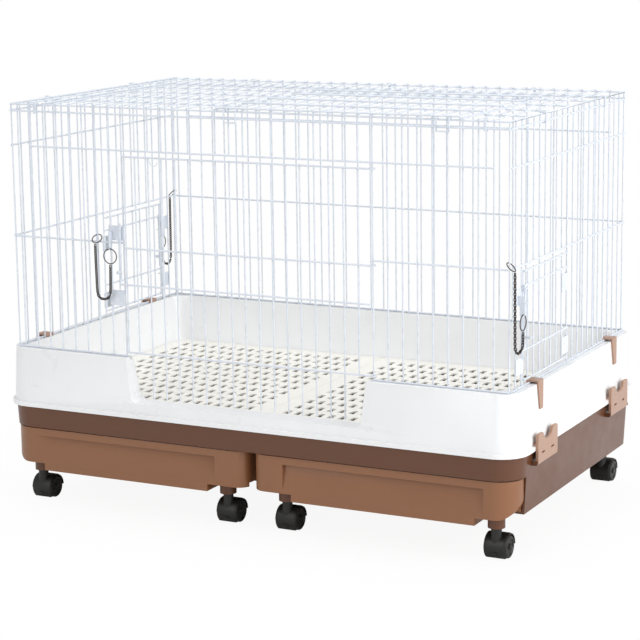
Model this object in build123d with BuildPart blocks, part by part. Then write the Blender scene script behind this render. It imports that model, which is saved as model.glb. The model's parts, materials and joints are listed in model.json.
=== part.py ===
from build123d import *
from math import atan, cos, degrees, pi, radians, sin, tan
import os

os.makedirs("parts", exist_ok=True)

# Millimetres. X runs along the front from left to right, Y from the front to the back, Z up.
# The origin is on the floor, under the middle of the cage.

# Wire cage: centre to centre of its corner posts, and levels above the floor
cage_length = 976.0
cage_depth = 570.0
wire_bottom = 289.0
mid_rail_level = 502.0
upper_rail_level = 669.0
wall_rail_level = 733.0
roof_level = 745.0
wire_radius = 1.3
rail_radius = 1.6
wire_sides = 8
front_bays = 35.5
side_bays = 21

# White tray under the cage
rim_level = 294.0
rim_overhang = 17.0
rim_inset = 7.0
rim_corner = 46.0
tray_draft = 5.0
flange_level = 186.0
flange_height = 8.0
flange_overhang = 27.0
flange_corner = 52.0
tray_wall = 3.0
tray_floor_level = 200.0
tray_floor_inset = 20.0
tray_floor_corner = 30.0
ledge_width = 22.0
cross_bar_width = 40.0
floor_opening_corner = 12.0
groove_width = 6.0
groove_depth = 5.5
entry_sill_level = 212.0
entry_margin = 7.5
entry_slant = 24.0
entry_corner = 20.0

# Slotted floor grates
grate_thickness = 4.0
grate_gap = 1.0
slot_columns = 9
slot_rows = 4
slot_width = 8.0
slot_margin = 26.0
slot_bridge = 16.0

# Brown lower housing
housing_bottom = 80.0
housing_inset = 5.0
housing_draft = 6.0
housing_wall = 4.0
band_bottom = 146.0
partition_thickness = 10.0
ledge_thickness = 4.0
outer_ledge_width = 66.0
inner_ledge_width = 78.0
boss_radius = 15.0
boss_bottom = 56.0
socket_depth = 20.0

# Drawers
drawer_gap = 1.5
drawer_top = 143.5
drawer_face_bottom = 77.0
drawer_strip_bottom = 64.0
drawer_face_depth = 46.0
drawer_inner_corner = 26.0
drawer_lower_corner = 34.0
drawer_wall = 3.0
drawer_lift = 0.3
scoop_depth = 11.0
scoop_top = 130.0
scoop_bottom = 84.0
scoop_length = 380.0

# Swivel casters with twin wheels
caster_outer_x = 459.0
caster_inner_x = 60.0
caster_inset = 18.0
wheel_radius = 20.0
wheel_width = 14.5
wheel_gap = 11.0
hood_thickness = 2.2
hood_clearance = 1.0
web_clearance = 0.5
swivel_offset = 13.0
stem_radius = 4.5
stem_clearance = 0.08
collar_radius = 9.0
collar_gap = 0.3
axle_radius = 3.0
axle_clearance = 0.08
axle_head_radius = 4.5
axle_head = 1.2
axle_eye_radius = 9.0
caster_sides = 24
stem_sides = 12

# Doors: the bays that they span and the levels of their rails
door_first_bay = 8
door_last_bay = 26
door_top_level = 658.0
door_mid_level = 493.0
door_low_level = 426.0
door_rim_level = 302.0
door_foot_level = 219.0
door_edge_gap = 5.0
side_door_first_bay = 2
side_door_last_bay = 10
side_door_levels = (305.0, 357.0, 466.0, 491.0)
side_hinge_levels = (327.0, 440.0)
hinge_plate_height = 30.0
hinge_plate_thickness = 1.2
hinge_plate_overlap = 4.0
eye_clearance = 0.4

# Roof and its lid
roof_bays = 6
lid_first_bay = 15
lid_last_bay = 32
lid_back_bay = 4
lid_back_gap = 9.0
lid_hook_drop = 22.0
lid_hook_width = 26.0
lid_hook_spread = 400.0
roof_hook_width = 5.0
roof_hook_thickness = 2.4

# Latches
plate_thickness = 1.2
bolt_radius = 1.8
bolt_clearance = 0.1
bolt_length = 107.5
bolt_rise = 4.5
tongue_length = 7.0
ear_reach = 4.0
lower_ear_drop = 12.0
lower_plate_height = 28.0
upper_ear_rise = 80.0
upper_plate_height = 27.0
knob_rise = 24.0
knob_radius = 3.2
knob_length = 12.0
stop_radius = 3.4
stop_height = 3.0
tab_reach = 15.0
tab_drop = 17.0
tab_hole_radius = 1.6

# Chains and their rings
ring_wire = 1.1
panel_ring_radius = 9.5
snap_ring_radius = 13.5
ring_tilt = 45.0
chain_radius = 1.5
front_chain_bottom = 398.0
side_chain_bottom = 360.0
ring_play = 0.1
chain_end_gap = 0.3
corner_share = 0.45

# Clips
tray_clip_length = 92.0
tray_clip_bottom = 165.0
tray_clip_top = 215.0
tray_clip_thickness = 5.0
tray_clip_y = 186.0
tray_clip_notch = 44.0
clip_lip = 3.0
clip_pivot_radius = 3.5
clip_pin_radius = 1.6
clip_pin_length = 6.0
lug_thickness = 4.0
clip_gap = 0.4
cage_clip_width = 24.0
cage_clip_foot = 14.0
cage_clip_drop = 50.0
cage_clip_thickness = 3.0
cage_clip_bay = 3

half_length = cage_length / 2
half_depth = cage_depth / 2
front_pitch = cage_length / front_bays
side_pitch = cage_depth / side_bays
layer = wire_radius + rail_radius


def front_x(i):
    """X of upright i of the front, counted from the left; the corner post at the right is the last."""
    return half_length - (int(front_bays) - i) * front_pitch


def side_u(j):
    """Place of upright j along a side wall, counted from the end where its door opens."""
    return -half_depth + j * side_pitch


def save(part, name):
    part.label = name
    export_step(part, "parts/" + name + ".step")
    print(f"{name:24s} {len(part.solids()):3d} solids {part.volume / 1000:10.2f} cm3")


def joined(*groups):
    """One part from groups of solids that touch but stay separate, such as welded wires."""
    return Compound([solid for group in groups for solid in group.solids()])


def plan_box(x_1, x_2, y_1, y_2, mode=Mode.ADD):
    """A rectangle between two pairs of sides."""
    with Locations(((x_1 + x_2) / 2, (y_1 + y_2) / 2)):
        Rectangle(abs(x_2 - x_1), abs(y_2 - y_1), mode=mode)


def rounded_slab(length, depth, corner, bottom, top, end_length):
    """A block with rounded corners in plan whose sides all lean out to the length at its top."""
    lean = degrees(atan((end_length - length) / 2 / (top - bottom)))
    with BuildPart() as slab:
        with BuildSketch(Plane.XY.offset(bottom)):
            RectangleRounded(length, depth, corner)
        extrude(amount=top - bottom, taper=-lean)
    return slab.part


def flat_radius(radius):
    """The corner radius of a wire section whose flats lie at the given radius."""
    return radius / cos(pi / wire_sides)


def wire_section(radius):
    RegularPolygon(flat_radius(radius), wire_sides, rotation=180 / wire_sides)


def uprights(points, bottom, top, radius=wire_radius):
    """Upright wires at (x, y) points, all from one level to another."""
    with BuildPart() as wires:
        with BuildSketch(Plane.XY.offset(bottom)):
            with Locations(*points):
                wire_section(radius)
        extrude(amount=top - bottom)
    return wires.part


def rails_x(points, left, right, radius=rail_radius):
    """Wires along X through (y, z) points."""
    with BuildPart() as wires:
        with BuildSketch(Plane.YZ.offset(left)):
            with Locations(*points):
                wire_section(radius)
        extrude(amount=right - left)
    return wires.part


def rails_y(points, front, back, radius=rail_radius):
    """Wires along Y through (x, z) points."""
    with BuildPart() as wires:
        with BuildSketch(Plane.XZ.offset(-front)):
            with Locations(*points):
                wire_section(radius)
        extrude(amount=front - back)
    return wires.part


def hinge_post(x, y, bottom, top):
    """A round upright that hinge eyes turn on."""
    with BuildPart() as post:
        with BuildSketch(Plane.XY.offset(bottom)):
            with Locations((x, y)):
                Circle(wire_radius)
        extrude(amount=top - bottom)
    return post.part


def knuckle(plane, bore, wall, reach, height):
    """A hinge eye whose strip runs straight on one side, along x of its plane, then curls round."""
    outer = bore + wall
    with BuildPart() as eye:
        with BuildSketch(plane.offset(-height / 2)):
            RegularPolygon(flat_radius(outer), wire_sides, rotation=180 / wire_sides)
            plan_box(0, reach, bore, outer)
            Circle(bore, mode=Mode.SUBTRACT)
        extrude(amount=height)
    return eye.part


# White tray
tray_span = rim_level - flange_level
entry_x = (front_x(door_first_bay) + front_x(door_last_bay)) / 2
entry_top_half = (front_x(door_last_bay) - front_x(door_first_bay)) / 2 - entry_margin
ledge_inset = tray_floor_inset + ledge_width
opening_length = (cage_length - 2 * ledge_inset - cross_bar_width) / 2
opening_x = (opening_length + cross_bar_width) / 2


def tray_side(level):
    """How far the tray's outer wall stands outside the cage's corner posts at a level."""
    return rim_overhang + tray_draft * (rim_level - level) / tray_span


def tray_shell(grow, bottom, top):
    """The tray's outer form between two levels, grown or shrunk by a wall."""
    low = 2 * (tray_side(bottom) + grow)
    high = 2 * (tray_side(top) + grow)
    return rounded_slab(
        cage_length + low, cage_depth + low, rim_corner + grow, bottom, top, cage_length + high
    )


def tray_basin(grow, bottom, top):
    """The inside of the tray, from its floor to its rim, grown by a wall."""
    return rounded_slab(
        cage_length - 2 * (tray_floor_inset - grow), cage_depth - 2 * (tray_floor_inset - grow),
        tray_floor_corner + grow, bottom, top, cage_length - 2 * (rim_inset - grow),
    )


def entry_cut(grow):
    """The low entry at the front: a notch with slanted sides and rounded lower corners."""
    rise = rim_level - entry_sill_level
    above = 2 * rim_level - entry_sill_level
    half_top = entry_top_half + entry_slant + grow
    half_sill = entry_top_half - entry_slant + grow
    with BuildPart() as notch:
        with BuildSketch(Plane.XZ.offset(half_depth + flange_overhang + rise)):
            with BuildLine():
                Polyline(
                    (entry_x - half_sill, entry_sill_level - grow),
                    (entry_x + half_sill, entry_sill_level - grow),
                    (entry_x + half_top, above),
                    (entry_x - half_top, above),
                    close=True,
                )
            make_face()
            fillet(vertices().group_by(Axis.Y)[0], entry_corner + grow)
        extrude(amount=-flange_overhang - rise - ledge_inset)
    return notch.part


# hollow under the double wall, closed round the entry
with BuildPart() as tray_hollow:
    add(tray_shell(-tray_wall, flange_level, rim_level - tray_wall - groove_depth))
    add(tray_basin(tray_wall, tray_floor_level - tray_wall, rim_level), mode=Mode.SUBTRACT)
    add(entry_cut(tray_wall), mode=Mode.SUBTRACT)

with BuildPart() as upper_tray:
    add(tray_shell(0, flange_level, rim_level))
    with BuildSketch(Plane.XY.offset(flange_level)):
        RectangleRounded(
            cage_length + 2 * flange_overhang, cage_depth + 2 * flange_overhang, flange_corner
        )
    extrude(amount=flange_height)
    add(tray_basin(0, tray_floor_level, rim_level), mode=Mode.SUBTRACT)
    add(tray_hollow.part, mode=Mode.SUBTRACT)
    # open floor over each drawer, inside a ledge and a cross bar that carry the grates
    with BuildSketch(Plane.XY.offset(tray_floor_level - tray_wall)):
        with Locations((-opening_x, 0), (opening_x, 0)):
            RectangleRounded(opening_length, cage_depth - 2 * ledge_inset, floor_opening_corner)
    extrude(amount=tray_wall, mode=Mode.SUBTRACT)
    add(entry_cut(0), mode=Mode.SUBTRACT)
    # groove in the rim for the lower ends of the wires
    with BuildSketch(Plane.XY.offset(rim_level - groove_depth)):
        RectangleRounded(cage_length + groove_width, cage_depth + groove_width, groove_width)
        RectangleRounded(
            cage_length - groove_width, cage_depth - groove_width, groove_width / 2, mode=Mode.SUBTRACT
        )
    extrude(amount=groove_depth, mode=Mode.SUBTRACT)
save(upper_tray.part, "upper_tray")

# Floor grates, one each side of the middle of the cross bar
grate_length = half_length - tray_floor_inset - 1.5 * grate_gap
grate_depth = cage_depth - 2 * (tray_floor_inset + grate_gap)
grate_x = (grate_gap + grate_length) / 2
slot_length = (grate_depth - 2 * slot_margin + slot_bridge) / slot_rows - slot_bridge
column_pitch = (grate_length - 2 * slot_margin - slot_width) / (slot_columns - 1)
for side, name in ((-1, "floor_grate_left"), (1, "floor_grate_right")):
    with BuildPart() as grate:
        with BuildSketch(Plane.XY.offset(tray_floor_level)):
            with Locations((side * grate_x, 0)):
                RectangleRounded(grate_length, grate_depth, tray_floor_corner - grate_gap)
                with GridLocations(column_pitch, slot_length + slot_bridge, slot_columns, slot_rows):
                    Rectangle(slot_width, slot_length, mode=Mode.SUBTRACT)
        extrude(amount=grate_thickness)
    save(grate.part, name)

# Lower housing
housing_length = cage_length + 2 * (flange_overhang - housing_inset)
housing_depth = cage_depth + 2 * (flange_overhang - housing_inset)
housing_corner = flange_corner - housing_inset
housing_span = flange_level - housing_bottom
front_y = housing_draft - housing_depth / 2
side_x = housing_length / 2 - housing_draft
face_back_y = front_y + drawer_face_depth
inner_x = side_x - housing_wall
inner_y = housing_depth / 2 - housing_draft - housing_wall
bay_inner_x = partition_thickness / 2
caster_y = half_depth - caster_inset
boss_front_y = -caster_y - boss_radius
outer_ledge_x = inner_x - outer_ledge_width
inner_ledge_x = bay_inner_x + inner_ledge_width
wall_middle_x = inner_x + housing_wall / 2
wall_middle_y = inner_y + housing_wall / 2
outer_boss_x = caster_outer_x + boss_radius
caster_spots = [
    (f"{row}_{number}", x, y)
    for row, y in (("front", -caster_y), ("back", caster_y))
    for number, x in enumerate((-caster_outer_x, -caster_inner_x, caster_inner_x, caster_outer_x), 1)
]
clip_inner_x = half_length + flange_overhang + clip_gap
clip_outer_x = clip_inner_x + tray_clip_thickness
pivot_x = clip_outer_x - clip_pivot_radius


def housing_side(level):
    """Half the housing's length at a level."""
    return housing_length / 2 - housing_draft * (flange_level - level) / housing_span


def housing_form(grow, bottom, top):
    """The housing's outer form, drafted inwards towards the bottom, grown or shrunk by a wall."""
    low = 2 * (grow + housing_side(bottom)) - housing_length
    high = 2 * (grow + housing_side(top)) - housing_length
    return rounded_slab(
        housing_length + low, housing_depth + low, housing_corner + grow, bottom, top,
        housing_length + high,
    )


with BuildPart() as lower_housing:
    add(housing_form(0, housing_bottom, flange_level))
    add(housing_form(-housing_wall, housing_bottom, flange_level), mode=Mode.SUBTRACT)
    # the drawer faces close the front under the band
    with BuildSketch(Plane.XY.offset(housing_bottom)):
        plan_box(-housing_length, housing_length, -housing_depth, face_back_y)
    extrude(amount=band_bottom - housing_bottom, mode=Mode.SUBTRACT)
    # partition between the bays, tied into the back wall and the band
    with BuildSketch(Plane.XY.offset(housing_bottom)):
        plan_box(-bay_inner_x, bay_inner_x, face_back_y, inner_y + housing_wall / 2)
    extrude(amount=housing_span)
    with BuildSketch(Plane.XY.offset(band_bottom)):
        plan_box(-bay_inner_x, bay_inner_x, front_y, face_back_y)
    extrude(amount=flange_level - band_bottom)
    # ledges that the drawers slide on, with tongues over the front casters
    with BuildSketch(Plane.XY.offset(housing_bottom)):
        for s in (-1, 1):
            plan_box(s * outer_ledge_x, s * wall_middle_x, face_back_y, inner_y - housing_corner)
            plan_box(s * outer_ledge_x, s * outer_boss_x, boss_front_y, wall_middle_y)
            plan_box(0, s * inner_ledge_x, face_back_y, wall_middle_y)
            plan_box(s * (caster_inner_x - boss_radius), s * inner_ledge_x, boss_front_y, face_back_y)
    extrude(amount=ledge_thickness)
    # caster bosses and their stem sockets
    with BuildSketch(Plane.XY.offset(boss_bottom)):
        with Locations(*[(x, y) for name, x, y in caster_spots]):
            Circle(boss_radius)
    extrude(amount=housing_bottom - boss_bottom)
    with BuildSketch(Plane.XY.offset(boss_bottom)):
        with Locations(*[(x, y) for name, x, y in caster_spots]):
            Circle(stem_radius + stem_clearance)
    extrude(amount=socket_depth, mode=Mode.SUBTRACT)
    # lugs and pins at both ends of each tray clip
    for s in (-1, 1):
        for y in (-tray_clip_y, tray_clip_y):
            for end in (-1, 1):
                lug_y = y + end * (tray_clip_length / 2 + clip_gap)
                with BuildSketch(Plane.XZ.offset(-lug_y)):
                    with Locations((s * pivot_x, tray_clip_bottom)):
                        Circle(clip_pivot_radius)
                    plan_box(
                        s * (housing_side(tray_clip_bottom) - housing_wall / 2), s * pivot_x,
                        tray_clip_bottom - clip_pivot_radius, tray_clip_bottom + clip_pivot_radius,
                    )
                extrude(amount=-end * lug_thickness)
                with BuildSketch(Plane.XZ.offset(-lug_y)):
                    with Locations((s * pivot_x, tray_clip_bottom)):
                        Circle(clip_pin_radius)
                extrude(amount=end * (clip_pin_length + clip_gap))
save(lower_housing.part, "lower_housing")

# Drawers
shoulder_level = housing_bottom + ledge_thickness + drawer_lift
box_outer_x = inner_x - drawer_gap
box_inner_x = bay_inner_x + drawer_gap
deep_outer_x = outer_ledge_x - drawer_gap
deep_inner_x = inner_ledge_x + drawer_gap
box_back_y = inner_y - drawer_gap
box_corner = housing_corner - housing_wall - drawer_gap
face_inner_x = bay_inner_x + drawer_gap / 2
pocket_front_y = boss_front_y - drawer_gap


def bay_outline(s, inner, outer, front, back, corner):
    """Plan of a drawer behind its face: the back outer corner follows the housing."""
    plan_box(s * inner, s * outer, front, back)
    back_corners = vertices().group_by(Axis.Y)[-1].sort_by(Axis.X)
    fillet(back_corners[-1] if s > 0 else back_corners[0], corner)


for s, name in ((-1, "drawer_left"), (1, "drawer_right")):
    with BuildPart() as face_block:
        with BuildSketch(Plane.XY.offset(drawer_face_bottom)):
            plan_box(s * face_inner_x, s * side_x, front_y, face_back_y - drawer_gap)
            corners = vertices().group_by(Axis.Y)[0].sort_by(Axis.X)
            fillet(corners[0] if s > 0 else corners[-1], drawer_inner_corner)
            corners = vertices().sort_by(Axis.X)
            far = corners.group_by(Axis.X)[-1 if s > 0 else 0].sort_by(Axis.Y)[0]
            fillet(far, min(housing_corner, drawer_face_depth - 2 * drawer_gap))
        extrude(amount=drawer_top - drawer_face_bottom)
        # rounded lower outer corner, seen from the front
        with BuildSketch(Plane.XZ.offset(-front_y)):
            plan_box(s * face_inner_x, s * side_x, drawer_face_bottom, drawer_top)
            low = vertices().group_by(Axis.Y)[0].sort_by(Axis.X)
            fillet(low[-1] if s > 0 else low[0], drawer_lower_corner)
        extrude(amount=-drawer_face_depth, mode=Mode.INTERSECT)
    with BuildPart() as drawer:
        add(face_block.part)
        # strip under the face and the deeper part behind it
        with BuildSketch(Plane.XY.offset(drawer_strip_bottom)):
            plan_box(s * deep_inner_x, s * deep_outer_x, front_y, box_back_y)
        extrude(amount=shoulder_level + drawer_wall - drawer_strip_bottom)
        # upper part, over the ledges
        with BuildSketch(Plane.XY.offset(shoulder_level)):
            bay_outline(s, box_inner_x, box_outer_x, face_back_y - drawer_gap, box_back_y, box_corner)
        extrude(amount=drawer_top - drawer_wall - shoulder_level)
        # room for the ledge tongues and bosses over the front casters
        with BuildSketch(Plane.XY.offset(drawer_face_bottom)):
            plan_box(s * deep_inner_x, s * 0, pocket_front_y, face_back_y - drawer_gap)
            plan_box(s * deep_outer_x, s * side_x, pocket_front_y, face_back_y - drawer_gap)
        extrude(amount=shoulder_level - drawer_face_bottom, mode=Mode.SUBTRACT)
        # inside of the drawer
        with BuildSketch(Plane.XY.offset(drawer_strip_bottom + drawer_wall)):
            plan_box(
                s * (deep_inner_x + drawer_wall), s * (deep_outer_x - drawer_wall),
                pocket_front_y + drawer_wall, box_back_y - drawer_wall,
            )
        extrude(amount=drawer_top - drawer_strip_bottom, mode=Mode.SUBTRACT)
        with BuildSketch(Plane.XY.offset(shoulder_level + drawer_wall)):
            bay_outline(
                s, box_inner_x + drawer_wall, box_outer_x - drawer_wall,
                face_back_y + drawer_wall, box_back_y - drawer_wall, box_corner - drawer_wall,
            )
            plan_box(
                s * (box_inner_x + drawer_inner_corner / 2), s * (box_outer_x - drawer_face_depth),
                front_y + scoop_depth + drawer_wall, face_back_y + 2 * drawer_wall,
            )
        extrude(amount=drawer_top - shoulder_level, mode=Mode.SUBTRACT)
        # finger scoop, deepest at its top and running out below
        with BuildSketch(Plane.YZ.offset(s * (deep_inner_x + deep_outer_x) / 2 - scoop_length / 2)):
            with BuildLine():
                Polyline(
                    (front_y - 1, scoop_bottom),
                    (front_y, scoop_bottom),
                    (front_y + scoop_depth, scoop_top),
                    (front_y - 1, scoop_top),
                    close=True,
                )
            make_face()
        extrude(amount=scoop_length, mode=Mode.SUBTRACT)
    save(drawer.part, name)

# Casters: the frame swivels on its stem, the wheels spin on its axle
web_half = wheel_gap / 2 - web_clearance
hood_half = wheel_gap / 2 + wheel_width
hood_inner = wheel_radius + hood_clearance
hood_outer = hood_inner + hood_thickness
collar_top = boss_bottom - collar_gap
axle_point = (swivel_offset, wheel_radius)


def caster_disc(plane, centre, radius, thickness, sides=caster_sides, mode=Mode.ADD):
    """A disc with flats at its top and bottom, as one regular prism."""
    with BuildSketch(plane) as outline:
        with Locations(centre):
            RegularPolygon(radius, sides, major_radius=False, rotation=180 / sides)
    return extrude(outline.sketch, amount=thickness, mode=mode)


with BuildPart() as caster_frame:
    caster_disc(Plane.YZ.offset(-hood_half), axle_point, hood_outer, 2 * hood_half)
    with BuildSketch(Plane.YZ.offset(-hood_half)):
        plan_box(-hood_outer, swivel_offset + 2 * hood_outer, -hood_outer, wheel_radius)
    extrude(amount=2 * hood_half, mode=Mode.SUBTRACT)
    collar_height = collar_top - wheel_radius - hood_clearance
    caster_disc(Plane.XY.offset(hood_inner), (0, 0), collar_radius, collar_height, stem_sides)
    for room_x in (web_half, -web_half - hood_half):
        caster_disc(Plane.YZ.offset(room_x), axle_point, hood_inner, hood_half, mode=Mode.SUBTRACT)
    caster_disc(Plane.YZ.offset(-web_half), axle_point, axle_eye_radius, 2 * web_half, stem_sides)
    with BuildSketch(Plane.XY.offset(collar_top)):
        RegularPolygon(stem_radius, stem_sides)
    extrude(amount=socket_depth)
    with BuildSketch(Plane.YZ):
        with Locations(axle_point):
            RegularPolygon(axle_radius, stem_sides)
    extrude(amount=hood_half + axle_clearance, both=True)
    for head_x in (hood_half + axle_clearance, -hood_half - axle_clearance - axle_head):
        caster_disc(Plane.YZ.offset(head_x), axle_point, axle_head_radius, axle_head, stem_sides)

with BuildPart() as caster_wheels:
    for wheel_x in (wheel_gap / 2, -hood_half):
        caster_disc(Plane.YZ.offset(wheel_x), axle_point, wheel_radius, wheel_width)
    with BuildSketch(Plane.YZ.offset(-hood_half)):
        with Locations(axle_point):
            Circle(axle_radius + axle_clearance)
    extrude(amount=2 * hood_half, mode=Mode.SUBTRACT)

for spot, x, y in caster_spots:
    for piece, name in ((caster_frame.part, "caster_frame_"), (caster_wheels.part, "caster_wheels_")):
        save(piece.moved(Location((x, y, 0))), name + spot)


# Wire walls, each built facing the front and turned to its side
def wall_wires(distance, posts, short_posts, short_bottom, hinge_u, rails):
    """A welded wall: uprights, and rails (level, from, to) outside them."""
    top = roof_level - rail_radius
    groups = [uprights([(u, -distance) for u in posts], wire_bottom, top)]
    if short_posts:
        groups.append(uprights([(u, -distance) for u in short_posts], short_bottom, top))
    if hinge_u is not None:
        groups.append(hinge_post(hinge_u, -distance, wire_bottom, top))
    for level, left, right in rails:
        groups.append(rails_x([(-distance - layer, level)], left, right))
    return joined(*groups)


last_front = int(front_bays) - 1
bottom_rail_level = rim_level + rail_radius
door_left_u = front_x(door_first_bay)
door_right_u = front_x(door_last_bay)
upper_rail = (upper_rail_level, front_x(1) - wire_radius, front_x(last_front) + wire_radius)
wall_rail = (wall_rail_level, -half_length, half_length)
front_panel = wall_wires(
    half_depth,
    [front_x(i) for i in range(last_front + 1) if i <= door_first_bay or i > door_last_bay],
    [front_x(i) for i in range(door_first_bay + 1, door_last_bay)],
    upper_rail_level - rail_radius,
    door_right_u,
    [
        (level, left, right)
        for level in (bottom_rail_level, mid_rail_level)
        for left, right in (
            (-half_length, door_left_u + wire_radius), (door_right_u - wire_radius, half_length)
        )
    ] + [upper_rail, wall_rail],
)
save(front_panel, "front_panel")

plain_panel = wall_wires(
    half_depth,
    [front_x(i) for i in range(last_front + 1)],
    [], 0, None,
    [(bottom_rail_level, -half_length, half_length), (mid_rail_level, -half_length, half_length),
     upper_rail, wall_rail],
)
save(plain_panel.mirror(Plane.XZ), "back_panel")

side_left_u = side_u(side_door_first_bay)
side_right_u = side_u(side_door_last_bay)
side_panel = wall_wires(
    half_length,
    [side_u(j) for j in range(side_bays + 1) if j <= side_door_first_bay or j > side_door_last_bay],
    [side_u(j) for j in range(side_door_first_bay + 1, side_door_last_bay)],
    mid_rail_level - rail_radius,
    side_right_u,
    [(level, -half_depth, half_depth)
     for level in (bottom_rail_level, mid_rail_level, upper_rail_level, wall_rail_level)],
)
save(side_panel.rotate(Axis.Z, 90), "right_panel")
save(side_panel.rotate(Axis.Z, -90), "left_panel")


# Doors
def door_wires(distance, wires, edge_u, hinge_u, levels, bottom, top, foot_wires, foot, reach, tongue):
    """A door: uprights, a wire at its free edge, rails, and one rail's tongue for the latch bolt."""
    y = -distance - eye_clearance
    plain = [u for u in wires if u not in foot_wires] + [edge_u]
    groups = [uprights([(u, y) for u in plain], bottom, top)]
    if foot_wires:
        groups.append(uprights([(u, y) for u in foot_wires], foot, top))
    for level in levels:
        left = edge_u - wire_radius - (door_edge_gap + tongue_length if level == tongue else 0)
        groups.append(rails_x([(y - layer, level)], left, hinge_u - reach))
    return groups


wire_bore = wire_radius + eye_clearance
rail_eye_reach = wire_bore + 2 * rail_radius
front_wires = [front_x(i) for i in range(door_first_bay + 1, door_last_bay)]
front_door = door_wires(
    half_depth, front_wires, door_left_u + door_edge_gap, door_right_u,
    (door_top_level, door_mid_level, door_low_level, door_rim_level),
    door_rim_level - rail_radius, door_top_level + rail_radius,
    front_wires[1:-1], door_foot_level, rail_eye_reach, door_low_level,
)
for level in (door_top_level, door_mid_level, door_rim_level):
    eye_plane = Plane(origin=(door_right_u, -half_depth, level), x_dir=(-1, 0, 0), z_dir=(0, 0, 1))
    front_door.append(knuckle(eye_plane, wire_bore, 2 * rail_radius, rail_eye_reach, 2 * rail_radius))
save(joined(*front_door), "front_door")

side_door = door_wires(
    half_length, [side_u(j) for j in range(side_door_first_bay + 1, side_door_last_bay)],
    side_left_u + door_edge_gap, side_right_u, side_door_levels,
    side_door_levels[0] - rail_radius, side_door_levels[-1] + rail_radius,
    [], 0, rail_eye_reach, side_door_levels[1],
)
for level in side_hinge_levels:
    eye_plane = Plane(origin=(side_right_u, -half_length, level), x_dir=(-1, 0, 0), z_dir=(0, 0, 1))
    side_door.append(
        knuckle(
            eye_plane, wire_bore, hinge_plate_thickness, side_pitch + hinge_plate_overlap, hinge_plate_height
        )
    )
save(joined(*side_door).rotate(Axis.Z, 90), "right_door")
save(joined(*side_door).rotate(Axis.Z, -90), "left_door")

# Roof: a frame on the walls, lengthwise wires, and wires from front to back on top of them
roof_y = [-half_depth + n * cage_depth / roof_bays for n in range(1, roof_bays)]
hinge_y = roof_y[lid_back_bay - 1]
roof_wire_level = roof_level + layer
frame_inner_x = half_length - rail_radius
frame_outer_y = half_depth + rail_radius
lid_wires = [front_x(i) for i in range(lid_first_bay + 1, lid_last_bay)]
open_wires = [front_x(i) for i in range(last_front + 1) if not lid_first_bay < i < lid_last_bay]
lid_left_x = front_x(lid_first_bay)
lid_right_x = front_x(lid_last_bay)

with BuildPart() as lid_hinge_wire:
    with BuildSketch(Plane.YZ.offset(-frame_inner_x)):
        with Locations((hinge_y, roof_level)):
            Circle(rail_radius)
    extrude(amount=2 * frame_inner_x)

roof_panel = joined(
    rails_x([(-half_depth, roof_level), (half_depth, roof_level)], -half_length - rail_radius,
            half_length + rail_radius),
    rails_y([(-half_length, roof_level), (half_length, roof_level)], rail_radius - half_depth,
            half_depth - rail_radius),
    rails_x([(y, roof_level) for y in roof_y if y < hinge_y], -frame_inner_x, lid_left_x + wire_radius),
    rails_x([(y, roof_level) for y in roof_y if y < hinge_y], lid_right_x - wire_radius, frame_inner_x),
    rails_x([(y, roof_level) for y in roof_y if y > hinge_y], -frame_inner_x, frame_inner_x),
    lid_hinge_wire.part,
    rails_y([(x, roof_wire_level) for x in open_wires], -frame_outer_y, frame_outer_y, wire_radius),
    rails_y([(x, roof_wire_level) for x in lid_wires], hinge_y - rail_radius, frame_outer_y, wire_radius),
)
save(roof_panel, "roof_panel")

# Lid: its wires lie a little above the roof's, its rails on top, and three eyes turn on the roof wire
lid_bore = rail_radius + eye_clearance
lid_level = roof_level + lid_bore + wire_radius
lid_rail_level = lid_level + layer
lid_front_y = -half_depth - eye_clearance
lid_back_y = hinge_y - lid_back_gap
lid_edges = (lid_left_x + door_edge_gap, lid_right_x - door_edge_gap)
lid_eye_reach = lid_bore + 2 * wire_radius
eye_spots = [lid_wires[0] + front_pitch / 2, sum(lid_edges) / 2, lid_wires[-1] - front_pitch / 2]
hook_y = -half_depth - layer - rail_radius - eye_clearance - wire_radius
hook_bottom = lid_level - wire_radius - lid_hook_drop
hook_spots = [sum(lid_edges) / 2 - lid_hook_spread / 2, sum(lid_edges) / 2 + lid_hook_spread / 2]
hook_legs = [x + s * (lid_hook_width / 2 - wire_radius) for x in hook_spots for s in (-1, 1)]
lid_rails = [lid_front_y] + [y for y in roof_y if y < hinge_y] + [lid_back_y]
lid_groups = [
    rails_y([(x, lid_level) for x in lid_wires + list(lid_edges)], lid_front_y - rail_radius,
            lid_back_y + rail_radius, wire_radius),
    rails_x([(y, lid_rail_level) for y in lid_rails], lid_edges[0] - wire_radius,
            lid_edges[1] + wire_radius),
    rails_y([(x, lid_level) for x in eye_spots], lid_back_y - rail_radius, hinge_y - lid_eye_reach,
            wire_radius),
    rails_y([(x, lid_level) for x in hook_legs], hook_y - wire_radius, lid_front_y + rail_radius, wire_radius),
    uprights([(x, hook_y) for x in hook_legs], hook_bottom, lid_level - wire_radius),
]
for x in hook_spots:
    half = lid_hook_width / 2 - 2 * wire_radius
    lid_groups.append(rails_x([(hook_y, hook_bottom + wire_radius)], x - half, x + half, wire_radius))
for x in eye_spots:
    eye_plane = Plane(origin=(x, hinge_y, roof_level), x_dir=(0, -1, 0), z_dir=(-1, 0, 0))
    lid_groups.append(knuckle(eye_plane, lid_bore, 2 * wire_radius, lid_eye_reach, 2 * wire_radius))
save(joined(*lid_groups), "roof_lid")

# Hooks that clip the roof frame to the walls' top rails
hook_inner_y = -half_depth + rail_radius + roof_hook_thickness
hook_outer_y = -half_depth - layer - rail_radius - roof_hook_thickness


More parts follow.
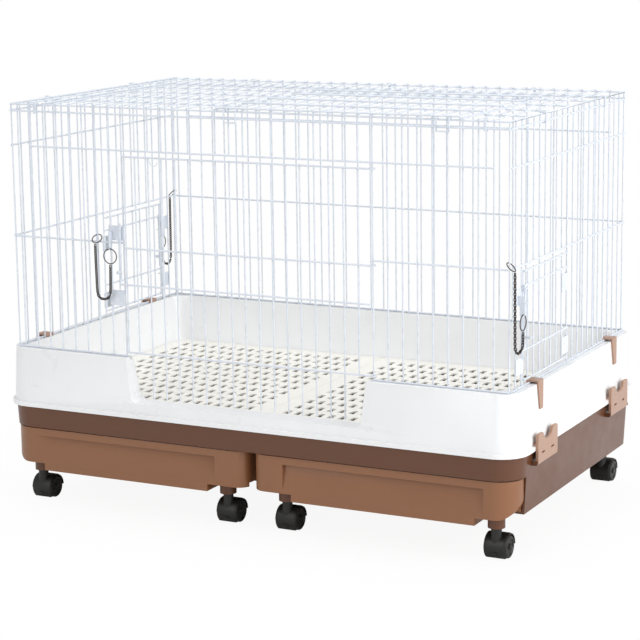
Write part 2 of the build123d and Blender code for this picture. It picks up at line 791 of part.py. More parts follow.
def roof_hook(distance, u):
    """A strap bent round a roof rail and a wall rail, open behind the wall rail."""
    shift = half_depth - distance
    with BuildPart() as strap:
        with BuildSketch(Plane.YZ.offset(u - roof_hook_width / 2)):
            plan_box(
                hook_outer_y + shift, hook_inner_y + shift,
                wall_rail_level - rail_radius - roof_hook_thickness,
                roof_level + rail_radius + roof_hook_thickness,
            )
            plan_box(
                hook_outer_y + roof_hook_thickness + shift, hook_inner_y - roof_hook_thickness + shift,
                wall_rail_level - rail_radius, roof_level + rail_radius, mode=Mode.SUBTRACT,
            )
            plan_box(
                hook_inner_y - roof_hook_thickness + shift, hook_inner_y + shift,
                wall_rail_level - rail_radius - roof_hook_thickness, roof_level - rail_radius,
                mode=Mode.SUBTRACT,
            )
        extrude(amount=roof_hook_width)
    return strap.part


half_bay = front_pitch / 2
side_half_bay = side_pitch / 2
front_hooks = [roof_hook(half_depth, front_x(i) + half_bay) for i in (1, 33)]
back_hooks = [roof_hook(half_depth, front_x(i) + half_bay).mirror(Plane.XZ) for i in (6, 17, 28)]
side_hooks = [roof_hook(half_length, side_u(j) + side_half_bay) for j in (5, 16)]
save(
    joined(
        *front_hooks, *back_hooks,
        *[hook.rotate(Axis.Z, 90) for hook in side_hooks],
        *[hook.rotate(Axis.Z, -90) for hook in side_hooks],
    ),
    "roof_hooks",
)


# Latches: two keeper plates on the posts beside each door, and a bolt that drops behind the door's tongue
def keeper_plates(distance, post_u, pitch, tongue_level):
    """Keeper plates with folded ears for the bolt, and a tab for the snap ring."""
    back = -distance - wire_radius
    face = back - plate_thickness
    bolt_y = -distance - latch_offset
    bolt_u = post_u - bolt_inset
    left = post_u - pitch - wire_radius - plate_thickness
    right = post_u + wire_radius + plate_thickness / 2
    upper_bottom = tongue_level + upper_ear_rise
    upper_top = upper_bottom + upper_plate_height
    lower_top = tongue_level - lower_ear_drop + plate_thickness
    tab_u = post_u - tab_inset
    with BuildPart() as plates:
        for bottom, top in ((lower_top - lower_plate_height, lower_top), (upper_bottom, upper_top)):
            with BuildSketch(Plane.XY.offset(bottom)):
                plan_box(left, right, face, back)
            extrude(amount=top - bottom)
        for level in (lower_top - plate_thickness, upper_bottom, upper_top - plate_thickness):
            with BuildSketch(Plane.XY.offset(level)):
                plan_box(bolt_u - ear_reach, bolt_u + ear_reach, bolt_y - ear_reach, face)
                with Locations((bolt_u, bolt_y)):
                    Circle(bolt_radius + bolt_clearance, mode=Mode.SUBTRACT)
            extrude(amount=plate_thickness)
        with BuildSketch(Plane.YZ.offset(tab_u - plate_thickness / 2)):
            plan_box(-distance - tab_reach, face, upper_bottom, upper_bottom + tab_drop)
            plan_box(-distance - tab_reach, -distance - 2 * layer, upper_bottom - tab_drop, upper_bottom)
            with Locations((-distance - ring_offset, upper_bottom - tab_drop + ring_wire + tab_hole_radius)):
                Circle(tab_hole_radius, mode=Mode.SUBTRACT)
        extrude(amount=plate_thickness)
    return plates.part


def latch_bolt(distance, post_u, tongue_level):
    """The bolt, lifted clear of the tongue, with its knob and the stop between the upper ears."""
    bolt_y = -distance - latch_offset
    bolt_u = post_u - bolt_inset
    stop_top = tongue_level + upper_ear_rise + upper_plate_height - plate_thickness - bolt_clearance
    with BuildPart() as bolt:
        with BuildSketch(Plane.XY.offset(tongue_level + bolt_rise)):
            with Locations((bolt_u, bolt_y)):
                RegularPolygon(bolt_radius, stem_sides)
        extrude(amount=bolt_length)
        with BuildSketch(Plane.XY.offset(stop_top - stop_height)):
            with Locations((bolt_u, bolt_y)):
                RegularPolygon(stop_radius, stem_sides)
        extrude(amount=stop_height)
        with BuildSketch(Plane.XZ.offset(-bolt_y)):
            with Locations((bolt_u, tongue_level + knob_rise)):
                RegularPolygon(knob_radius, stem_sides)
        extrude(amount=knob_length)
    return bolt.part


def ring(centre, radius, plane_normal, plane_x):
    """A round wire ring in a plane of its own."""
    frame = Plane(origin=centre, x_dir=plane_x, z_dir=plane_normal)
    section = Plane(origin=frame.origin, x_dir=frame.x_dir, z_dir=-frame.y_dir)
    with BuildPart() as loop:
        with BuildSketch(section):
            with Locations((radius, 0)):
                RegularPolygon(ring_wire, 6)
        revolve(axis=Axis(centre, plane_normal))
    return loop.part


def route_radii(points):
    """The radius at each corner of a cord's route, as large as its two runs allow."""
    corners = [Vector(*point) for point in points]
    radii = []
    for before, here, after in zip(corners, corners[1:], corners[2:]):
        turn = (here - before).get_angle(after - here)
        run = min((here - before).length, (after - here).length)
        radii.append(corner_share * run / tan(radians(turn / 2)))
    return radii


def chain(name, points):
    """A chain as one tube along straight runs and tangent arcs."""
    radii = route_radii(points)
    print(name, "radii", [round(radius, 1) for radius in radii])
    with BuildPart() as tube:
        with BuildLine() as route:
            FilletPolyline(*points, radius=radii)
        with BuildSketch(Plane(origin=route.line @ 0, z_dir=route.line % 0)):
            RegularPolygon(chain_radius, 6)
        sweep()
    length = sum(edge.length for edge in route.edges())
    section = 1.5 * 3 ** 0.5 * chain_radius ** 2
    print(name, "length", round(length, 1), "volume ratio", round(tube.part.volume / (section * length), 3))
    return tube.part


latch_offset = eye_clearance + layer + rail_radius + eye_clearance + bolt_radius
bolt_inset = ear_reach - plate_thickness / 2
ring_offset = tab_reach - 2 * tab_hole_radius
tab_inset = bolt_inset + ear_reach + snap_ring_radius + 1.5 * ring_wire
panel_ring_offset = wire_radius + rail_radius
panel_ring_level = mid_rail_level + rail_radius + 3 * ring_wire

keepers = []
rings = []
for wall_name, angle, distance, post_u, pitch, ring_u, tongue_level, chain_bottom in (
    ("front", 0, half_depth, door_left_u, front_pitch, front_x(door_first_bay - 2),
     door_low_level, front_chain_bottom),
    ("right", 90, half_length, side_left_u, side_pitch, side_u(0), side_door_levels[1], side_chain_bottom),
    ("left", -90, half_length, side_left_u, side_pitch, side_u(0), side_door_levels[1], side_chain_bottom),
):
    keepers.append(keeper_plates(distance, post_u, pitch, tongue_level).rotate(Axis.Z, angle))
    save(latch_bolt(distance, post_u, tongue_level).rotate(Axis.Z, angle), wall_name + "_bolt")
    snap_u = post_u - tab_inset
    snap_y = -distance - ring_offset
    hole_level = tongue_level + upper_ear_rise - tab_drop + ring_wire + tab_hole_radius
    snap_level = hole_level - (tab_hole_radius - ring_wire) + ring_play - snap_ring_radius
    tilt = radians(ring_tilt)
    panel_ring = ring(
        (ring_u, -distance - panel_ring_offset, panel_ring_level), panel_ring_radius,
        (0, -sin(tilt), cos(tilt)), (1, 0, 0),
    )
    snap_ring = ring((snap_u, snap_y, snap_level), snap_ring_radius, (0, -1, 0), (1, 0, 0))
    rings += [panel_ring.rotate(Axis.Z, angle), snap_ring.rotate(Axis.Z, angle)]
    start_y = -distance - panel_ring_offset - panel_ring_radius * cos(tilt)
    start_level = panel_ring_level - panel_ring_radius * sin(tilt) - ring_wire - chain_end_gap
    end_level = snap_level - snap_ring_radius - ring_wire - chain_end_gap
    width = snap_u - ring_u
    bend_level = chain_bottom + 0.22 * width
    drop = start_level - bend_level
    rise = end_level - bend_level
    middle_y = (start_y + snap_y) / 2
    points = [
        (ring_u, start_y, start_level),
        (ring_u + 0.005 * width, start_y, start_level - 0.3 * drop),
        (ring_u + 0.025 * width, start_y, start_level - 0.62 * drop),
        (ring_u + 0.04 * width, start_y, start_level - 0.85 * drop),
        (ring_u + 0.06 * width, start_y, bend_level),
        (ring_u + 0.32 * width, middle_y, chain_bottom),
        (ring_u + 0.68 * width, middle_y, chain_bottom + 0.02 * width),
        (ring_u + 0.94 * width, snap_y, bend_level),
        (ring_u + 0.97 * width, snap_y, bend_level + 0.32 * rise),
        (ring_u + 0.99 * width, snap_y, bend_level + 0.68 * rise),
        (snap_u, snap_y, end_level),
    ]
    save(chain(wall_name + "_chain", points).rotate(Axis.Z, angle), wall_name + "_chain")
save(joined(*keepers), "latch_keepers")
save(joined(*rings), "latch_rings")

# Tray clips: they turn on the housing's pins and hook over the tray's flange
lip_inner_x = half_length + tray_side(flange_level + flange_height) + clip_gap
lip_bottom = flange_level + flange_height + clip_gap
with BuildPart() as tray_clip:
    with BuildSketch(Plane.XZ.offset(tray_clip_length / 2)):
        plan_box(clip_inner_x, clip_outer_x, tray_clip_bottom, tray_clip_top)
        plan_box(lip_inner_x, clip_outer_x, lip_bottom, lip_bottom + clip_lip)
        with Locations((pivot_x, tray_clip_bottom)):
            Circle(clip_pivot_radius)
    extrude(amount=-tray_clip_length)
    # notch between the two horns, and two finger slots
    with BuildSketch(Plane.YZ.offset(lip_inner_x)):
        with Locations((0, tray_clip_top)):
            SlotOverall(tray_clip_notch, 2 * (tray_clip_top - lip_bottom - 2 * clip_lip))
        with GridLocations(tray_clip_notch, 0, 2, 1):
            with Locations((0, flange_level - 2 * clip_lip)):
                Rectangle(4 * clip_lip, clip_lip)
    extrude(amount=2 * tray_clip_thickness + clip_lip, mode=Mode.SUBTRACT)
    # corners of the horns
    fillet(tray_clip.edges().filter_by(Axis.X).group_by(Axis.Z)[-1], tray_clip_thickness)
    # pin bores
    with BuildSketch(Plane.XZ.offset(tray_clip_length / 2)):
        with Locations((pivot_x, tray_clip_bottom)):
            Circle(clip_pin_radius + axle_clearance)
    extrude(amount=-tray_clip_length, mode=Mode.SUBTRACT)
tray_clips = {
    "tray_clip_right_front": tray_clip.part.moved(Location((0, -tray_clip_y, 0))),
    "tray_clip_right_back": tray_clip.part.moved(Location((0, tray_clip_y, 0))),
    "tray_clip_left_front": tray_clip.part.mirror(Plane.YZ).moved(Location((0, -tray_clip_y, 0))),
    "tray_clip_left_back": tray_clip.part.mirror(Plane.YZ).moved(Location((0, tray_clip_y, 0))),
}
for name, clip in tray_clips.items():
    save(clip, name)

# Cage clips: they hold the side walls' bottom rails down and lie against the tray's rim
rail_top = rim_level + 2 * rail_radius
clip_top = rail_top + cage_clip_thickness
clip_foot_level = clip_top - cage_clip_drop
lip_x = half_length + wire_radius - clip_gap
with BuildPart() as cage_clip:
    with BuildSketch(Plane.XZ.offset(cage_clip_width / 2)):
        with BuildLine():
            Polyline(
                (lip_x - cage_clip_thickness, clip_top),
                (half_length + rim_overhang + cage_clip_thickness, clip_top),
                (half_length + tray_side(clip_foot_level) + cage_clip_thickness, clip_foot_level),
                (half_length + tray_side(clip_foot_level), clip_foot_level),
                (half_length + rim_overhang, rim_level),
                (half_length + rim_overhang, rail_top),
                (lip_x, rail_top),
                (lip_x, rim_level),
                (lip_x - cage_clip_thickness, rim_level),
                close=True,
            )
        make_face()
    extrude(amount=-cage_clip_width)
    with BuildSketch(Plane.YZ.offset(half_length - cage_clip_width)):
        with BuildLine():
            Polyline(
                (-cage_clip_width / 2, clip_top),
                (-cage_clip_width / 2, rim_level),
                (-cage_clip_foot / 2, clip_foot_level),
                (cage_clip_foot / 2, clip_foot_level),
                (cage_clip_width / 2, rim_level),
                (cage_clip_width / 2, clip_top),
                close=True,
            )
        make_face()
    extrude(amount=3 * cage_clip_width, mode=Mode.INTERSECT)
cage_clip_y = side_u(cage_clip_bay) + side_half_bay
right_clips = [cage_clip.part.moved(Location((0, y, 0))) for y in (cage_clip_y, -cage_clip_y)]
left_clips = [clip.mirror(Plane.YZ) for clip in right_clips]
save(joined(*right_clips, *left_clips), "cage_clips")
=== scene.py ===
import bmesh
import bpy
import json
from math import cos, pi, radians, sin
from mathutils import Matrix, Vector

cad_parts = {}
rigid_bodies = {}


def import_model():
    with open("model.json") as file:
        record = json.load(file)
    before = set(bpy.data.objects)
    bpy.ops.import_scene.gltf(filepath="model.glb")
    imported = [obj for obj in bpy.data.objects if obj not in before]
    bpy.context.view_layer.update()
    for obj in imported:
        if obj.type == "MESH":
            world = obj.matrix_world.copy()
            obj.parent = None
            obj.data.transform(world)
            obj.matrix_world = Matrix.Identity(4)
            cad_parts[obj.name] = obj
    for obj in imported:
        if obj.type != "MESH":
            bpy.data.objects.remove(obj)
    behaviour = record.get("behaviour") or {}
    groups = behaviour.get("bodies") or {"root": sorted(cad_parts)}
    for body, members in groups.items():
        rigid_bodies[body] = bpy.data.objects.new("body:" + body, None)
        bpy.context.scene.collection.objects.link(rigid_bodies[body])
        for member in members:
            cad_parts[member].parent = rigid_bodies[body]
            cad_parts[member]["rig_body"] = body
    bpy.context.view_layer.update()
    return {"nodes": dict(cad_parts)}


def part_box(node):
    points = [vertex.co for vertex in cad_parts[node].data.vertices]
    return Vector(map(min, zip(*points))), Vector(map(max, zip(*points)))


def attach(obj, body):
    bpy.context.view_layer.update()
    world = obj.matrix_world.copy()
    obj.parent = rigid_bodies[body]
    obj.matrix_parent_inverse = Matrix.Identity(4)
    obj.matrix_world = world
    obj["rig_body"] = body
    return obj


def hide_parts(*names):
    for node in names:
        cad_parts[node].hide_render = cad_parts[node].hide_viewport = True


bl_info = {
    "name": "Wire Pet Cage",
    "version": (1, 0, 0),
    "blender": (4, 5, 0),
    "location": "View3D > Sidebar > Cage",
    "description": "Wire cage with doors on a white tray over a drawer base on casters",
    "category": "Object",
}

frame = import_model()
mm = 0.001

WIRE_NODES = (
    "front_panel", "back_panel", "left_panel", "right_panel", "roof_panel",
    "front_door", "left_door", "right_door", "roof_lid",
)
DOORS = ("front", "right", "left")
CASTER_SPOTS = [f"{row}_{number}" for row in ("front", "back") for number in (1, 2, 3, 4)]
CLIP_NODES = [f"tray_clip_{side}_{end}" for side in ("left", "right") for end in ("front", "back")]

# routes of the hanging chains, along the wall, out from it and up, in millimetres
FRONT_ROUTE = (
    (-309.30, -294.62, 498.78), (-309.14, -294.62, 470.97), (-308.49, -294.62, 441.31),
    (-308.00, -294.62, 419.98), (-307.35, -294.62, 405.14), (-298.92, -295.71, 398.00),
    (-287.24, -295.71, 398.65), (-278.81, -296.80, 405.14), (-277.83, -296.80, 423.62),
    (-277.18, -296.80, 444.42), (-276.86, -296.80, 462.90),
)
SIDE_ROUTE = (
    (-285.00, -497.62, 498.78), (-284.84, -497.62, 459.24), (-284.21, -497.62, 417.07),
    (-283.73, -497.62, 386.75), (-283.10, -497.62, 366.98), (-274.84, -498.71, 360.00),
    (-263.42, -498.71, 360.63), (-255.16, -499.80, 366.98), (-254.21, -499.80, 375.59),
    (-253.58, -499.80, 385.29), (-253.26, -499.80, 393.90),
)
TURNS = {"front": 0, "right": 90, "left": -90}

WHEEL_RADIUS = 20 * mm
WHEEL_WIDTH = 14.5 * mm
WHEEL_BORE = 3.1 * mm
WHEEL_HUB = 6 * mm
# a wheel's outer face from the bore outwards, as depth into the wheel and radius, in millimetres
WHEEL_FACE = ((0.0, 3.1), (0.0, 5.6), (1.6, 6.4), (1.6, 13.2), (0.2, 14.6))

# the middle and the radius of each wire hook, in millimetres
DOOR_HOOK = ((-185, -289.5, 652), 8)
WALL_HOOK = ((-395, -289.5, 740), 9)


class CageSizes(bpy.types.PropertyGroup):
    """Sizes that a user may change."""

    edge_round: bpy.props.FloatProperty(
        name="Moulded edge", description="Rounding of the moulded edges",
        default=1.6 * mm, unit="LENGTH", precision=5,
    )
    sheet_round: bpy.props.FloatProperty(
        name="Sheet edge", description="Rounding of the small metal and plastic parts",
        default=0.35 * mm, unit="LENGTH", precision=5,
    )
    slot_length: bpy.props.FloatProperty(
        name="Slot length", description="Length of a slot in the floor, front to back",
        default=24 * mm, unit="LENGTH", precision=4,
    )
    slot_width: bpy.props.FloatProperty(
        name="Slot width", description="Width of a slot in the floor",
        default=10.5 * mm, unit="LENGTH", precision=4,
    )
    column_pitch: bpy.props.FloatProperty(
        name="Column pitch", description="Distance between slots along the front",
        default=21.7 * mm, unit="LENGTH", precision=4,
    )
    row_pitch: bpy.props.FloatProperty(
        name="Row pitch", description="Distance between slots from front to back",
        default=43.8 * mm, unit="LENGTH", precision=4,
    )
    grate_border: bpy.props.FloatProperty(
        name="Grate border", description="Plain margin round the slots",
        default=23 * mm, unit="LENGTH", precision=4,
    )
    grate_corner: bpy.props.FloatProperty(
        name="Grate corner", description="Rounding of a grate's corners",
        default=12 * mm, unit="LENGTH", precision=4,
    )
    link_width: bpy.props.FloatProperty(
        name="Link width", description="Width of a chain link",
        default=6.2 * mm, unit="LENGTH", precision=4,
    )
    link_wire: bpy.props.FloatProperty(
        name="Link wire", description="Radius of the wire of a link",
        default=0.95 * mm, unit="LENGTH", precision=5,
    )
    link_length: bpy.props.FloatProperty(
        name="Link length", description="Length of a chain link outside",
        default=8.4 * mm, unit="LENGTH", precision=4,
    )
    hood_radius: bpy.props.FloatProperty(
        name="Hood radius", description="Outside radius of a caster's hood about its axle",
        default=24.2 * mm, unit="LENGTH", precision=4,
    )
    hood_drop: bpy.props.FloatProperty(
        name="Hood drop", description="How far round below the axle the hood's front reaches",
        default=radians(46), unit="ROTATION",
    )
    entry_widening: bpy.props.FloatProperty(
        name="Entry widening", description="How far each side of the entry moves out at its sill",
        default=15 * mm, unit="LENGTH", precision=4,
    )
    scoop_run: bpy.props.FloatProperty(
        name="Scoop run", description="How far the left end of the drawer's scoop slopes",
        default=30 * mm, unit="LENGTH", precision=4,
    )
    wheel_round: bpy.props.FloatProperty(
        name="Wheel shoulder", description="Rounding at the sides of a caster wheel",
        default=2.6 * mm, unit="LENGTH", precision=4,
    )
    focal: bpy.props.FloatProperty(
        name="Focal length", description="Focal length in pixels of the picture",
        default=2110.6, subtype="PIXEL",
    )
    picture: bpy.props.FloatProperty(
        name="Picture width", description="Width of the picture in pixels",
        default=640.0, subtype="PIXEL",
    )
    axis_point: bpy.props.FloatVectorProperty(
        name="Axis point", description="Where the camera's axis meets the picture, in pixels",
        size=2, subtype="COORDINATES", default=(310.1, 296.3),
    )
    camera_place: bpy.props.FloatVectorProperty(
        name="Camera place", description="Place of the camera", size=3, subtype="XYZ", unit="LENGTH",
        default=(1.7507, -3.4660, 1.1005),
    )
    camera_turn: bpy.props.FloatVectorProperty(
        name="Camera turn", description="Turn to the left, tilt down and roll of the camera",
        size=3, subtype="EULER", unit="ROTATION",
        default=(radians(27.14), radians(10.6), radians(-0.8)),
    )


def colour(name, red, green, blue):
    """A colour property from the eye's 0 to 255 scale."""
    scale = [c / 255 for c in (red, green, blue)]
    linear = [c / 12.92 if c <= 0.04045 else ((c + 0.055) / 1.055) ** 2.4 for c in scale]
    return bpy.props.FloatVectorProperty(
        name=name, description=f"Colour of the {name.lower()}", subtype="COLOR", size=3,
        min=0, max=1, default=linear,
    )


class CageColours(bpy.types.PropertyGroup):
    """Colours that a user may change."""

    wire: colour("Wire coating", 218, 224, 233)
    tray: colour("White tray", 236, 237, 238)
    grate: colour("Floor grates", 237, 235, 228)
    housing: colour("Lower housing", 92, 52, 24)
    drawer: colour("Drawers", 136, 90, 58)
    clip: colour("Clips", 166, 128, 106)
    caster: colour("Casters", 22, 22, 20)
    steel: colour("Chain steel", 74, 66, 60)


def sizes():
    return bpy.context.scene.cage_sizes


def colours():
    return bpy.context.scene.cage_colours


# Materials


class Flow:
    """A shader socket that takes part in plain arithmetic."""

    def __init__(self, finish, socket):
        self.finish = finish
        self.socket = socket

    def maths(self, operation, other):
        return self.finish.node("ShaderNodeMath", {"operation": operation}, {0: self, 1: other})

    def __add__(self, other):
        return self.maths("ADD", other)

    def __mul__(self, other):
        return self.maths("MULTIPLY", other)


class Finish:
    """A material with one Principled shader, built node by node."""

    def __init__(self, name):
        self.material = bpy.data.materials.new(name)
        self.material.use_nodes = True
        self.tree = self.material.node_tree
        self.shader = self.tree.nodes["Principled BSDF"]

    def node(self, kind, settings, sockets, output=0):
        made = self.tree.nodes.new(kind)
        for key, value in settings.items():
            setattr(made, key, value)
        for key, value in sockets.items():
            self.plug(made.inputs[key], value)
        return Flow(self, made.outputs[output])

    def plug(self, socket, value):
        if isinstance(value, Flow):
            self.tree.links.new(value.socket, socket)
        else:
            socket.default_value = value

    def set(self, **sockets):
        for key, value in sockets.items():
            self.plug(self.shader.inputs[key.replace("_", " ").title()], value)

    def place(self):
        return self.node("ShaderNodeTexCoord", {}, {}, "Object")

    def noise(self, scale, detail=3.0, roughness=0.5):
        sockets = {"Vector": self.place(), "Scale": scale, "Detail": detail, "Roughness": roughness}
        return self.node("ShaderNodeTexNoise", {}, sockets)

    def stretch(self, value, low, high, to_low, to_high):
        sockets = {"Value": value, "From Min": low, "From Max": high, "To Min": to_low, "To Max": to_high}
        return self.node("ShaderNodeMapRange", {"clamp": True}, sockets)

    def mixed(self, factor, first, second):
        sockets = {"Factor": factor, 6: (*first, 1.0), 7: (*second, 1.0)}
        return self.node("ShaderNodeMix", {"data_type": "RGBA"}, sockets, 2)

    def bump(self, height, distance, strength=1.0):
        sockets = {"Height": height, "Distance": distance, "Strength": strength}
        return self.node("ShaderNodeBump", {}, sockets)


def shade_of(base, factor):
    return [min(1.0, c * factor) for c in base]


def moulded(name, base, gloss, grain, coat=0.0):
    """Moulded plastic: faint clouding, an orange-peel skin and smears that change its gloss."""
    finish = Finish(name)
    cloud = finish.stretch(finish.noise(9.0, 4.0), 0.35, 0.65, 0.0, 1.0)
    smear = finish.stretch(finish.noise(34.0, 5.0, 0.6), 0.3, 0.7, 0.0, 1.0)
    finish.set(
        base_color=finish.mixed(cloud, shade_of(base, 0.98), shade_of(base, 1.015)),
        roughness=finish.stretch(cloud * 0.4 + smear * 0.6, 0.0, 1.0, gloss - 0.05, gloss + 0.08),
        normal=finish.bump(finish.noise(1400.0, 2.0), grain),
    )
    finish.shader.inputs["IOR"].default_value = 1.48
    finish.shader.inputs["Coat Weight"].default_value = coat
    finish.shader.inputs["Coat Roughness"].default_value = 0.18
    return finish.material


def coated_wire(base):
    """Dipped wire: a glossy skin a little thicker in some places than in others."""
    finish = Finish("coated_wire")
    runs = finish.stretch(finish.noise(60.0, 3.0), 0.35, 0.65, 0.0, 1.0)
    finish.set(
        base_color=finish.mixed(runs, shade_of(base, 0.96), shade_of(base, 1.0)),
        roughness=finish.stretch(runs, 0.0, 1.0, 0.24, 0.34),
        normal=finish.bump(finish.noise(420.0, 2.0), 0.015 * mm),
    )
    finish.shader.inputs["Coat Weight"].default_value = 0.2
    finish.shader.inputs["Coat Roughness"].default_value = 0.1
    return finish.material


def plated_steel(base):
    """Plated steel of the chains and rings, darker where it is rubbed less."""
    finish = Finish("plated_steel")
    wear = finish.stretch(finish.noise(170.0, 5.0, 0.65), 0.35, 0.7, 0.0, 1.0)
    finish.set(
        base_color=finish.mixed(wear, shade_of(base, 0.55), shade_of(base, 1.35)),
        roughness=finish.stretch(wear, 0.0, 1.0, 0.42, 0.24),
        normal=finish.bump(finish.noise(900.0, 3.0), 0.03 * mm),
    )
    finish.shader.inputs["Metallic"].default_value = 0.75
    return finish.material


# Pieces


def add_piece(name, mesh, body, material):
    piece = bpy.data.objects.new(name, mesh)
    bpy.context.scene.collection.objects.link(piece)
    mesh.materials.clear()
    mesh.materials.append(material)
    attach(piece, body)
    return piece


def mesh_of(bm, name, sharp):
    """Ends the bmesh as a mesh that is smooth but at edges sharper than an angle in degrees."""
    mesh = bpy.data.meshes.new(name)
    bm.to_mesh(mesh)
    bm.free()
    mesh.shade_smooth()
    mesh.set_sharp_from_angle(angle=radians(sharp))
    return mesh


def soften(piece, width, segments=2, angle=32):
    """Rounds the piece's edges with a bevel."""
    bevel = piece.modifiers.new("soft_edges", "BEVEL")
    bevel.width = width
    bevel.segments = segments
    bevel.limit_method = "ANGLE"
    bevel.angle_limit = radians(angle)
    bevel.harden_normals = True


def body_of_node(node):
    return frame["nodes"][node]["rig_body"]


def finished_copy(
    node, material, round_edges=0.0, segments=2, sharp=38, flat=True, reshape=None
):
    """A cleaned copy of a CAD node, with its flats joined and its edges softened."""
    weld = 0.002 * mm
    level = radians(0.5)
    bm = bmesh.new()
    bm.from_mesh(frame["nodes"][node].data)
    bmesh.ops.remove_doubles(bm, verts=bm.verts, dist=weld)
    if flat:
        bmesh.ops.dissolve_limit(
            bm, angle_limit=level, use_dissolve_boundaries=False, verts=bm.verts, edges=bm.edges
        )
    if reshape:
        reshape(bm)
        bmesh.ops.triangulate(bm, faces=[face for face in bm.faces if len(face.verts) > 4])
    mesh = mesh_of(bm, node + "_finished", sharp)
    piece = add_piece(node + "_finished", mesh, body_of_node(node), material)
    if round_edges:
        soften(piece, round_edges, segments)
    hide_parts(node)
    return piece


class CAGE_OT_camera(bpy.types.Operator):
    """Adds the camera at the picture's viewing angle."""

    bl_idname = "cage.camera"
    bl_label = "Camera"

    def execute(self, context):
        size = sizes()
        yaw, pitch, roll = size.camera_turn
        ahead = Vector((-sin(yaw) * cos(pitch), cos(yaw) * cos(pitch), -sin(pitch)))
        right = Vector((cos(yaw), sin(yaw), 0))
        up = right.cross(ahead)
        level = Matrix((right, up, -ahead)).transposed().to_4x4()
        data = bpy.data.cameras.new("cage_camera")
        data.sensor_width = 36.0
        data.lens = size.focal * data.sensor_width / size.picture
        data.shift_x = 0.5 - size.axis_point[0] / size.picture
        data.shift_y = size.axis_point[1] / size.picture - 0.5
        camera = bpy.data.objects.new("cage_camera", data)
        context.scene.collection.objects.link(camera)
        camera.matrix_world = Matrix.Translation(size.camera_place) @ level @ Matrix.Rotation(roll, 4, "Z")
        context.scene.camera = camera
        return {"FINISHED"}


def route_points(wall):
    """The chain's points in metres, turned to its wall."""
    route = FRONT_ROUTE if wall == "front" else SIDE_ROUTE
    turn = Matrix.Rotation(radians(TURNS[wall]), 4, "Z")
    return [turn @ (Vector(point) * mm) for point in route]


def smooth_line(points):
    """Points along the smooth line that has the route's points as its control points."""
    curve = bpy.data.curves.new("route", "CURVE")
    curve.dimensions = "3D"
    spline = curve.splines.new("NURBS")
    spline.points.add(len(points) - 1)
    for target, point in zip(spline.points, points):
        target.co = (*point, 1.0)
    spline.order_u = 3
    spline.use_endpoint_u = True
    spline.resolution_u = 16
    route = bpy.data.objects.new("route", curve)
    bpy.context.scene.collection.objects.link(route)
    bpy.context.view_layer.update()
    mesh = bpy.data.meshes.new_from_object(route)
    line = [vertex.co.copy() for vertex in mesh.vertices]
    bpy.data.objects.remove(route)
    bpy.data.curves.remove(curve)
    bpy.data.meshes.remove(mesh)
    return line


def link_shape(bm, size):
    """One oblong link lying along X, added to the mesh."""
    bend = size.link_width / 2 - size.link_wire
    half_straight = (size.link_length - size.link_width) / 2
    section = bmesh.ops.create_circle(
        bm, segments=6, radius=size.link_wire,
        matrix=Matrix.Translation((0, bend, 0)) @ Matrix.Rotation(pi / 2, 4, "Y"),
    )
    edges = list({edge for vert in section["verts"] for edge in vert.link_edges})
    before = set(bm.verts)
    bmesh.ops.spin(
        bm, geom=section["verts"] + edges, cent=(0, 0, 0), axis=(0, 0, 1), angle=2 * pi,
        steps=10, use_merge=True, use_duplicate=False,
    )
    made = [vert for vert in bm.verts if vert not in before]
    made += [vert for vert in section["verts"] if vert.is_valid]
    for vert in made:
        if abs(vert.co.x) > 0.1 * bend:
            vert.co.x += half_straight if vert.co.x > 0 else -half_straight
    return made


class CAGE_OT_chains(bpy.types.Operator):
    """Hangs a chain of links beside each door."""

    bl_idname = "cage.chains"
    bl_label = "Chains"

    def execute(self, context):
        size = sizes()
        steel = plated_steel(colours().steel)
        off_line = Vector((0.3, 0.2, 1.0))
        for wall in DOORS:
            line = smooth_line(route_points(wall))
            steps = [(b - a).length for a, b in zip(line, line[1:])]
            length = sum(steps)
            pitch = size.link_length - 4 * size.link_wire
            count = round((length - size.link_length) / pitch) + 1
            bm = bmesh.new()
            for index in range(count):
                at = size.link_length / 2 + index * (length - size.link_length) / (count - 1)
                here, ahead = self.spot(line, steps, at)
                side = ahead.cross(off_line).normalized()
                facing = Matrix((ahead, side, ahead.cross(side))).transposed().to_4x4()
                quarter = Matrix.Rotation(pi / 4 + (index % 2) * pi / 2, 4, "X")
                verts = link_shape(bm, size)
                bmesh.ops.transform(bm, matrix=Matrix.Translation(here) @ facing @ quarter, verts=verts)
            bmesh.ops.recalc_face_normals(bm, faces=bm.faces)
            mesh = mesh_of(bm, wall + "_chain_links", 80)
            piece = add_piece(wall + "_chain_links", mesh, "root", steel)
            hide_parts(wall + "_chain")
        return {"FINISHED"}

    def spot(self, line, steps, distance):
        """The point and direction at a distance along the line."""
        for start, end, step in zip(line, line[1:], steps):
            if distance <= step:
                return start.lerp(end, distance / step), (end - start).normalized()
            distance -= step
        return line[-1], (line[-1] - line[-2]).normalized()


class CAGE_OT_wires(bpy.types.Operator):
    """Finishes the wire walls, the roof and the doors."""

    bl_idname = "cage.wires"
    bl_label = "Wire walls, roof and doors"

    def execute(self, context):
        coat = coated_wire(colours().wire)
        for node in WIRE_NODES:
            finished_copy(node, coat, sharp=50)
        return {"FINISHED"}


